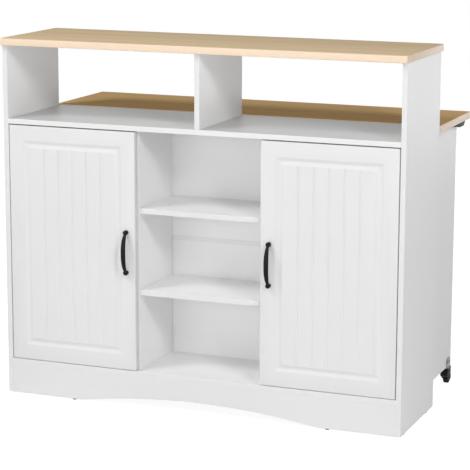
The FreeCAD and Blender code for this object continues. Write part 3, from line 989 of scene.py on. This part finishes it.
@dataclass
class BeadedDoor:
    """A painted door: flat border, routed ring, and a raised field of planks between grooves."""

    arris: float = 0.0015
    border: float = 0.043
    slope: float = 0.0085
    flat: float = 0.004
    depth: float = 0.004
    planks: int = 6
    groove: float = 0.0062
    groove_depth: float = 0.0031
    run_out: float = 0.003
    softness: float = 0.0009
    soft_crease: float = math.radians(8)
    routed: float = 0.01
    cup_x: float = 0.56
    cup_heights: Pair = (0.203, 0.701)
    cup_radius: float = 0.01755
    cup_floor: float = 0.004
    shade_degrees: float = 25.0

    def panel(self) -> Workpiece:
        """The right door's board, shaped on its front.

        Returns:
            The board, without its cup bores.
        """
        low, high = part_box("door_panel_right")
        door = Workpiece.block("beaded_door_right", low, high)
        with door.editing():
            door.bevel(lambda centre, line: True, self.arris, segments=3)
            door.pick(Pick.FACE, lambda centre, normal: normal.y < -SQUARE)
            door.inset((self.border - self.arris, 0.0), (self.slope, -self.depth), (self.flat, 0.0),
                       (self.slope, self.depth), (self.run_out, 0.0))
            self.plank(door, low, high)
            rim = self.border - self.softness
            door.bevel(lambda centre, line: low.x + rim < centre.x < high.x - rim
                       and low.z + rim < centre.z < high.z - rim and centre.y < low.y + self.routed,
                       self.softness, segments=2, crease=self.soft_crease)
        return door

    def plank(self, door: Workpiece, low: Vector, high: Vector) -> None:
        """Press the V-grooves into the field.

        Args:
            door: The door, in edit mode.
            low: Its lowest corner.
            high: Its highest corner.
        """
        rim = self.border + 2 * self.slope + self.flat
        left, right = low.x + rim, high.x - rim
        bottom, top = low.z + rim, high.z - rim
        near = self.softness / 10

        def on_field(centre: Vector, normal: Vector) -> bool:
            """Faces of the raised field."""
            return (normal.y < -SQUARE and centre.y < low.y + near and left < centre.x < right
                    and bottom < centre.z < top)

        lines = [left + (right - left) * count / self.planks for count in range(1, self.planks)]
        for line in lines:
            door.score(on_field, Axis.X, line, (-self.groove / 2, 0.0, self.groove / 2))
        door.pick(Pick.POINT, lambda centre, normal: centre.y < low.y + near
                  and any(abs(centre.x - line) < near for line in lines)
                  and bottom + self.run_out - near < centre.z < top - self.run_out + near)
        bpy.ops.transform.translate(value=(0.0, self.groove_depth, 0.0))

    def build(self) -> None:
        """Make both doors with their cup bores."""
        door = self.panel()
        low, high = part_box("door_panel_right")
        door.cut([Workpiece.rod("cup tool", Vector((self.cup_x, low.y + self.cup_floor, height)),
                                Vector((self.cup_x, high.y + self.cup_floor, height)),
                                self.cup_radius, Facets.FINE)
                  for height in self.cup_heights])
        door.hand_in_pair(DOOR_PAINT, "door_{}", Slot.WHITE_BOARD, "door_panel", degrees=self.shade_degrees)


@dataclass
class BowHandle:
    """A cast bow pull: a swelling bow between two balls on short posts."""

    spacing: float = 0.116
    ball: float = 0.0072
    stand: float = 0.009
    width: float = 0.0142
    thickness: float = 0.008
    end_share: float = 0.42
    fullness: float = 2.6
    swell: float = 0.7
    post: float = 0.0045
    foot: float = 0.0062
    foot_height: float = 0.0016
    steps: int = 24
    grain: float = 0.00055
    shade_degrees: float = 60.0

    def section(self, step: int, middle: Vector, reach: float) -> tuple[Vector, float, float]:
        """One slice of the bow.

        Args:
            step: Number of the slice from the bottom.
            middle: Middle of the handle at the door's face.
            reach: How far the bow stands out beyond the balls.

        Returns:
            The slice's centre, width and thickness.
        """
        place = 2 * step / self.steps - 1
        bulge = 1 - abs(place) ** self.fullness
        share = self.end_share + (1 - self.end_share) * bulge ** self.swell
        slope = self.fullness * abs(place) ** (self.fullness - 1) * reach / (self.spacing / 2)
        lean = math.hypot(1.0, slope)
        centre = middle + Vector((0.0, -self.stand - reach * bulge, place * self.spacing / 2))
        return centre, self.width * share, self.thickness * share * lean

    def bow(self, middle: Vector, reach: float) -> Workpiece:
        """The bow, drawn out slice by slice.

        Args:
            middle: Middle of the handle at the door's face.
            reach: How far the bow stands out beyond the balls.

        Returns:
            The bow, without its ends.
        """
        centre, width, thickness = self.section(0, middle, reach)
        bow = Workpiece.disc("bow_handle_right", centre, (width, thickness))
        with bow.editing():
            bpy.ops.mesh.select_all(action="SELECT")
            for step in range(1, self.steps + 1):
                target, wide, thick = self.section(step, middle, reach)
                bpy.ops.mesh.extrude_region_move(TRANSFORM_OT_translate={"value": target - centre})
                bpy.ops.transform.resize(value=(wide / width, thick / thickness, 1.0),
                                         center_override=target)
                centre, width, thickness = target, wide, thick
        bow.outward()
        return bow

    def build(self) -> None:
        """Cast both handles."""
        low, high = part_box("door_handle_right")
        middle = Vector(((low.x + high.x) / 2, high.y, (low.z + high.z) / 2))
        handle = self.bow(middle, high.y - low.y - self.thickness / 2 - self.stand)
        ends = []
        for sign in (-1, 1):
            root = middle + Vector((0.0, 0.0, sign * self.spacing / 2))
            tip = root - Vector((0.0, self.stand, 0.0))
            ends.append(Workpiece.ball("ball", tip, self.ball))
            ends.append(Workpiece.rod("post", root, tip, self.post))
            ends.append(Workpiece.rod("foot", root, root - Vector((0.0, self.foot_height, 0.0)), self.foot))
        handle.join(ends)
        handle.apply("REMESH", mode="VOXEL", voxel_size=self.grain)
        handle.apply("SMOOTH", factor=0.5, iterations=6)
        handle.hand_in_pair(BLACK_COAT, "door_{}", Slot.BLACK_METAL, "door_handle",
                            degrees=self.shade_degrees)


@dataclass
class Wheel:
    """A caster wheel: a spoked hub in a grooved tyre."""

    sides: int = 72
    shoulder: float = 0.003
    grooves: tuple[float, ...] = (-0.0022, 0.0022)
    groove_width: float = 0.0011
    groove_share: float = 0.965
    arris: float = 0.0004
    rim: float = 0.0016
    wall: float = 0.0006
    dish: float = 0.0024
    boss: float = 0.005
    pockets: int = 5
    pocket_share: float = 0.62
    pocket_wall: float = 0.0006
    pocket_depth: float = 0.0014
    bore: float = 0.00305

    def __post_init__(self) -> None:
        """Read the wheel's place and radii from the solids."""
        low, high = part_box("tyre_right")
        hub_low, hub_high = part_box("wheel_hub_right")
        self.axle = (low + high) / 2
        self.radius = (high.z - low.z) / 2
        self.seat = (hub_high.z - hub_low.z) / 2

    def off_axle(self, place: Vector) -> float:
        """Distance of a place from the axle's line."""
        return math.hypot(place.y - self.axle.y, place.z - self.axle.z)

    def turned(self, name: str, node: str, radius: float, sides: int, overrun: float = 0.0) -> Workpiece:
        """A disc about the axle.

        Args:
            name: Name of the piece.
            node: The solid that it is as wide as.
            radius: Its radius.
            sides: Number of facets.
            overrun: How much further it reaches at each end.

        Returns:
            The disc.
        """
        low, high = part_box(node)
        start, end = (Vector((x, self.axle.y, self.axle.z)) for x in (low.x - overrun, high.x + overrun))
        return Workpiece.rod(name, start, end, radius, sides)

    def tyre(self) -> Workpiece:
        """The tyre, a bored and grooved disc.

        Returns:
            The right tyre.
        """
        tyre = self.turned("grooved_tyre_right", "tyre_right", self.radius, self.sides)
        crown = self.radius - self.shoulder / 2
        with tyre.editing():
            tyre.bevel(lambda centre, line: abs(line.x) < ACROSS, self.shoulder, segments=5, crease=CREASE)
            tyre.pick(Pick.FACE, lambda centre, normal: abs(normal.x) > SQUARE)
            tyre.inset((self.radius - self.shoulder - self.seat, 0.0))
            bpy.ops.mesh.delete(type="FACE")
            tyre.pick(Pick.EDGE, lambda centre, line: self.off_axle(centre) < self.seat + self.arris
                      and abs(line.x) < ACROSS)
            bpy.ops.mesh.bridge_edge_loops()
            for groove in self.grooves:
                tyre.score(lambda centre, normal: self.off_axle(centre) > crown, Axis.X,
                           self.axle.x + groove, (-self.groove_width / 2, 0.0, self.groove_width / 2))
            tyre.pick(Pick.POINT, lambda place, normal: self.off_axle(place) > crown and any(
                abs(place.x - self.axle.x - groove) < self.groove_width / 8 for groove in self.grooves))
            bpy.ops.transform.resize(value=(1.0, self.groove_share, self.groove_share),
                                     center_override=self.axle)
        tyre.outward()
        return tyre

    def hub(self) -> Workpiece:
        """The hub: rim, dish, boss and pockets between its spokes, alike on both faces.

        Returns:
            The right hub.
        """
        hub = self.turned("spoked_hub_right", "wheel_hub_right", self.seat, self.sides)
        dish_edge = self.seat - self.arris - self.rim - self.wall
        with hub.editing():
            hub.bevel(lambda centre, line: abs(line.x) < ACROSS, self.arris, segments=2, crease=CREASE)
            hub.pick(Pick.FACE, lambda centre, normal: abs(normal.x) > SQUARE)
            hub.inset((self.rim, 0.0), (self.wall, -self.dish), (dish_edge - self.boss, 0.0),
                      (self.wall, self.dish))
            hub.pick(Pick.FACE, lambda centre, normal: abs(normal.x) > SQUARE
                     and self.boss < self.off_axle(centre) < dish_edge and self.in_pocket(centre))
            hub.inset((self.pocket_wall, -self.pocket_depth))
        hub.cut([self.turned("axle tool", "wheel_hub_right", self.bore, Facets.COMMON, self.rim)])
        return hub

    def in_pocket(self, place: Vector) -> bool:
        """Whether a place on the dish lies between two spokes."""
        turn = math.atan2(place.z - self.axle.z, place.y - self.axle.y) / math.tau * self.pockets
        return abs(turn - round(turn)) < self.pocket_share / 2

    def build(self) -> None:
        """Make both wheels."""
        tyre, hub = self.tyre(), self.hub()
        tyre.hand_in_pair(TYRE_RUBBER, "wheel_{}", Slot.WHEEL_RUBBER, "tyre")
        hub.hand_in_pair(HUB_MOULDING, "wheel_{}", Slot.WHEEL_HUB, "wheel_hub")


@dataclass
class Caster:
    """A braked board caster: hooded fork with a nose, bright race and a stem."""

    half_width: float = 0.011
    half_room: float = 0.0085
    nose: float = 0.017
    nose_low: float = 0.029
    nose_high: float = 0.0345
    brow: float = 0.009
    heel: float = 0.022
    heel_low: float = 0.031
    rear_low: float = 0.013
    cheek: float = 0.008
    cheek_proud: float = 0.0003
    wheel_room: float = 0.0222
    pedal_room: float = 0.0125
    pedal_sill: float = 0.035
    softness: float = 0.0022
    arris: float = 0.0007
    race: float = 0.012
    race_gap: float = 0.004
    race_height: float = 0.0036
    race_groove: float = 0.0012
    stem: float = 0.004
    stem_head: float = 0.005
    stem_top: float = 0.057
    stem_head_height: float = 0.0016
    overrun: float = 0.03

    def __post_init__(self) -> None:
        """Read the caster's place from the solids."""
        low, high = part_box("caster_bracket_right")
        self.swivel = Vector(((low.x + high.x) / 2, (low.y + high.y) / 2, low.z - self.race_gap))
        tyre_low, tyre_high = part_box("tyre_right")
        self.axle = (tyre_low + tyre_high) / 2

    def at(self, x: float, y: float, z: float) -> Vector:
        """A point from the swivel's line, at a height above the floor."""
        return Vector((self.swivel.x + x, self.swivel.y + y, z))

    def fork(self) -> Workpiece:
        """The fork: a pared and rounded block with room for the wheel and the pedal.

        Returns:
            The right fork.
        """
        top = self.swivel.z
        fork = Workpiece.block("hooded_fork_right", self.at(-self.half_width, -self.nose, self.rear_low),
                               self.at(self.half_width, self.heel, top))
        trail = self.axle.y - self.swivel.y
        lines = (((-self.nose, self.nose_high), (self.brow - self.nose, top)),
                 ((trail - self.cheek, self.rear_low), (-self.nose, self.nose_low)),
                 ((self.heel, self.heel_low), (trail + self.cheek / 2, self.rear_low)))
        with fork.editing():
            for (y0, z0), (y1, z1) in lines:
                fork.pare(self.swivel.x, (self.swivel.y + y0, z0), (self.swivel.y + y1, z1))
            fork.bevel(lambda centre, line: abs(line.x) > ALONG, self.softness, segments=4)
            fork.bevel(lambda centre, line: abs(line.x) < ACROSS, self.arris, segments=2, crease=CREASE)
        fork.outward()
        side = Vector((self.half_width + self.cheek_proud, 0.0, 0.0))
        cheek = Workpiece.rod("cheek", self.axle - side, self.axle + side, self.cheek, Facets.FINE)
        fork.cut([cheek], "UNION")
        room = Vector((self.half_room, 0.0, 0.0))
        channel = Workpiece.rod("wheel room", self.axle - room, self.axle + room, self.wheel_room,
                                Facets.CHANNEL)
        with channel.editing():
            channel.pick(Pick.POINT, lambda place, normal: place.z < self.axle.z - self.arris)
            bpy.ops.transform.translate(value=(0.0, 0.0, -self.overrun))
        wide = self.half_room - self.arris
        fork.cut([channel, Workpiece.block("pedal room", self.at(-wide, self.pedal_room, self.pedal_sill),
                                           self.at(wide, 2 * self.overrun, top + self.overrun))])
        return fork

    def race_and_stem(self) -> Workpiece:
        """The pressed race with its ball groove, and the stem in the leg.

        Returns:
            The right race with its stem.
        """
        foot = self.at(0.0, 0.0, self.swivel.z)
        head = self.at(0.0, 0.0, self.swivel.z + self.race_height)
        race = Workpiece.rod("swivel_race_right", foot, head, self.race, Facets.FINE)
        middle = (foot.z + head.z) / 2
        share = 1 - self.race_groove / self.race
        with race.editing():
            race.score(lambda centre, normal: abs(normal.z) < ACROSS, Axis.Z, middle,
                       (-self.race_groove / 2, 0.0, self.race_groove / 2))
            race.pick(Pick.POINT, lambda place, normal: abs(place.z - middle) < self.race_groove / 8)
            bpy.ops.transform.resize(value=(share, share, 1.0), center_override=foot)
            race.bevel(lambda centre, line: abs(line.z) < ACROSS, self.arris, segments=3, crease=CREASE)
        top = self.at(0.0, 0.0, self.stem_top)
        cap = top - Vector((0.0, 0.0, self.stem_head_height))
        race.cut([Workpiece.rod("stem", (foot + head) / 2, top, self.stem),
                  Workpiece.rod("stem head", cap, top, self.stem_head)], "UNION")
        return race

    def build(self) -> None:
        """Make both casters."""
        fork, race = self.fork(), self.race_and_stem()
        fork.hand_in_pair(BLACK_MOULDING, "caster_{}", Slot.BLACK_PLASTIC, "caster_fork")
        race.hand_in_pair(CASTER_ZINC, "caster_{}", Slot.ZINC_STEEL)


@dataclass
class Pedal:
    """A brake pedal: a ribbed plate with a rolled lip."""

    lip: float = 0.0034
    plate: float = 0.0034
    plate_drop: float = 0.003
    ribs: int = 3
    rib: float = 0.0012
    rib_height: float = 0.0006
    arris: float = 0.0008
    pin: float = 0.00155
    pin_back: float = 0.005
    boss: float = 0.00245

    def build(self) -> None:
        """Make both pedals."""
        low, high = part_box("brake_pedal_right")
        floor = high.z - self.plate - self.plate_drop
        pedal = Workpiece.block("ribbed_pedal_right", Vector((low.x, low.y, floor)),
                                Vector((high.x, high.y - self.lip, floor + self.plate)))
        start, end = low.y + 2 * self.pin_back, high.y - 3 * self.lip
        places = [start + (end - start) * count / (self.ribs - 1) for count in range(self.ribs)]
        with pedal.editing():
            pedal.bevel(lambda centre, line: True, self.arris, segments=3)
            for place in places:
                pedal.score(lambda centre, normal: normal.z > SQUARE, Axis.Y, place,
                            (-self.rib / 2, self.rib / 2))
            pedal.pick(Pick.FACE, lambda centre, normal: normal.z > SQUARE
                       and any(abs(centre.y - place) < self.rib / 4 for place in places))
            pedal.inset((self.rib / 4, self.rib_height))
        roll = Vector((0.0, high.y - self.lip, high.z - self.lip))
        hinge = Vector((0.0, low.y + self.pin_back, floor + self.plate / 2))
        left, right = (Vector((x, 0.0, 0.0)) for x in (low.x, high.x))
        bar = Workpiece.rod("lip", roll + left, roll + right, self.lip, Facets.SMALL)
        with bar.editing():
            bar.bevel(lambda centre, line: abs(line.x) < ACROSS, self.arris, segments=3, crease=CREASE)
        boss = Workpiece.rod("boss", hinge + left, hinge + right, self.boss, Facets.SMALL)
        pedal.cut([bar, boss], "UNION")
        reach = Vector((self.lip, 0.0, 0.0))
        pedal.cut([Workpiece.rod("pin tool", hinge + left - reach, hinge + right + reach, self.pin,
                                 Facets.SMALL)])
        pedal.hand_in_pair(BLACK_MOULDING, "pedal_{}", Slot.BLACK_PLASTIC, "brake_pedal")


@dataclass
class LegCatch:
    """The moulded catch under the leaf that takes the leg's top corner."""

    toe: float = 0.004
    toe_drop: float = 0.009
    ramp: float = 0.053
    tail: float = 0.014
    softness: float = 0.0025
    arris: float = 0.0008
    wall: float = 0.0124
    rear: float = 0.046
    overrun: float = 0.01

    def build(self) -> None:
        """Make both catches."""
        low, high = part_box("leg_catch_right")
        block = Workpiece.block("moulded_catch_right", low, high)
        shoulder = high.z - self.toe_drop
        seat = high.z - self.arris
        with block.editing():
            block.pare(low.x, (low.y + self.toe, shoulder), (low.y, high.z))
            block.pare(low.x, (low.y + self.ramp, low.z), (low.y + self.toe, shoulder))
            block.pare(low.x, (high.y, shoulder), (high.y - self.tail, low.z))
            block.bevel(lambda centre, line: abs(line.x) > ALONG and centre.z < seat,
                        self.softness, segments=4)
            block.bevel(lambda centre, line: abs(line.x) < ACROSS and centre.z < seat,
                        self.arris, segments=3, crease=CREASE)
        reach = Vector((self.overrun, self.overrun, self.overrun))
        corner = Vector((high.x - self.wall, high.y - self.rear, high.z + self.overrun))
        block.cut([Workpiece.block("leg room", low - reach, corner)])
        block.hand_in_pair(BLACK_MOULDING, "leaf", Slot.BLACK_PLASTIC, "leg_catch")


# Studio


@dataclass(frozen=True)
class SoftBox:
    """A soft rectangular lamp that faces the island."""

    name: str
    power: float
    place: Triple
    size: Pair

    def build(self, target: Triple) -> None:
        """Hang the lamp.

        Args:
            target: The point that it faces.
        """
        turn = (Vector(target) - Vector(self.place)).to_track_quat("-Z", "Y").to_euler()
        bpy.ops.object.light_add(type="AREA", location=self.place, rotation=turn)
        lamp = bpy.context.active_object
        lamp.name = self.name
        lamp.data.shape = "RECTANGLE"
        lamp.data.size, lamp.data.size_y = self.size
        lamp.data.energy = self.power


@dataclass
class Studio:
    """Pale floor, soft lamps, white surround and the camera."""

    floor_size: float = 80.0
    surround: float = 0.275
    lamps: tuple[SoftBox, ...] = (
        SoftBox("right lamp", 67.0, (3.218, -2.997, 3.0), (1.1, 1.1)),
        SoftBox("left lamp", 84.0, (-2.151, -2.663, 4.216), (1.3, 1.3)),
        SoftBox("front lamp", 64.0, (0.0, -5.073, 1.023), (5.0, 2.2)),
        SoftBox("rear lamp", 30.0, (0.0, 4.8, 0.45), (5.0, 0.9)),
    )
    target: Triple = (0.0, -0.1, 0.5)
    eye: Triple = (1.997457, -5.076182, 1.566907)
    yaw: float = 0.376573
    pitch: float = 0.20017
    roll: float = 0.003458
    lens: float = 145.1
    sensor: float = 36.0
    sight: float = 200.0

    def floor(self) -> None:
        """The plain floor under the island."""
        Workpiece.clear()
        bpy.ops.mesh.primitive_plane_add(size=self.floor_size, location=(0.0, 0.0, 0.0))
        floor = Workpiece("floor")
        floor.dress(FLOOR)

    def surround_light(self) -> None:
        """An even white surround that looks white and lights softly."""
        world = bpy.data.worlds.new("surround")
        world.use_nodes = True
        bpy.context.scene.world = world
        graph = Graph(world.node_tree)
        fill, shown = (graph.node("ShaderNodeBackground", None, {"Color": WHITE, "Strength": strength})
                       for strength in (self.surround, 1.0))
        mixed = graph.node("ShaderNodeMixShader", None, {0: graph.seen(), 1: fill, 2: shown})
        graph.node("ShaderNodeOutputWorld", None, {"Surface": mixed})

    def camera(self) -> None:
        """The camera at the photograph's angle."""
        reach = math.cos(self.pitch)
        ahead = Vector((-math.sin(self.yaw) * reach, math.cos(self.yaw) * reach, -math.sin(self.pitch)))
        right = Vector((math.cos(self.yaw), math.sin(self.yaw), 0.0))
        upward = right.cross(ahead)
        level = math.cos(self.roll) * right + math.sin(self.roll) * upward
        upright = -math.sin(self.roll) * right + math.cos(self.roll) * upward
        bpy.ops.object.camera_add(location=self.eye)
        camera = bpy.context.active_object
        turn = Matrix((level, upright, -ahead)).transposed()
        camera.matrix_world = Matrix.Translation(self.eye) @ turn.to_4x4()
        camera.data.lens = self.lens
        camera.data.sensor_width = self.sensor
        camera.data.dof.use_dof = False
        camera.data.clip_end = self.sight
        bpy.context.scene.camera = camera

    def build(self) -> None:
        """Set up floor, light and camera."""
        self.floor()
        self.surround_light()
        for lamp in self.lamps:
            lamp.build(self.target)
        self.camera()
        bpy.context.scene.view_settings.view_transform = "Standard"
        LOG.info("studio ready")


def main() -> None:
    """Build the island piece by piece."""
    logging.basicConfig(level=logging.INFO, format="%(name)s: %(message)s")
    Studio().build()
    Carcass().dress()
    Counter("bar_top", "bar_counter", "cabinet", OAK_TOP, COUNTER_BACKING).build()
    # The leaf takes the oak print with painted shade, on its face and its underside.
    Leaf("drop_leaf", "leaf_board", "leaf", OAK_LEAF_PAINTED_SHADE, OAK_LEAF_PAINTED_SHADE).build()
    BeadedDoor().build()
    BowHandle().build()
    Wheel().build()
    Caster().build()
    Pedal().build()
    LegCatch().build()


if __name__ == "__main__":
    main()
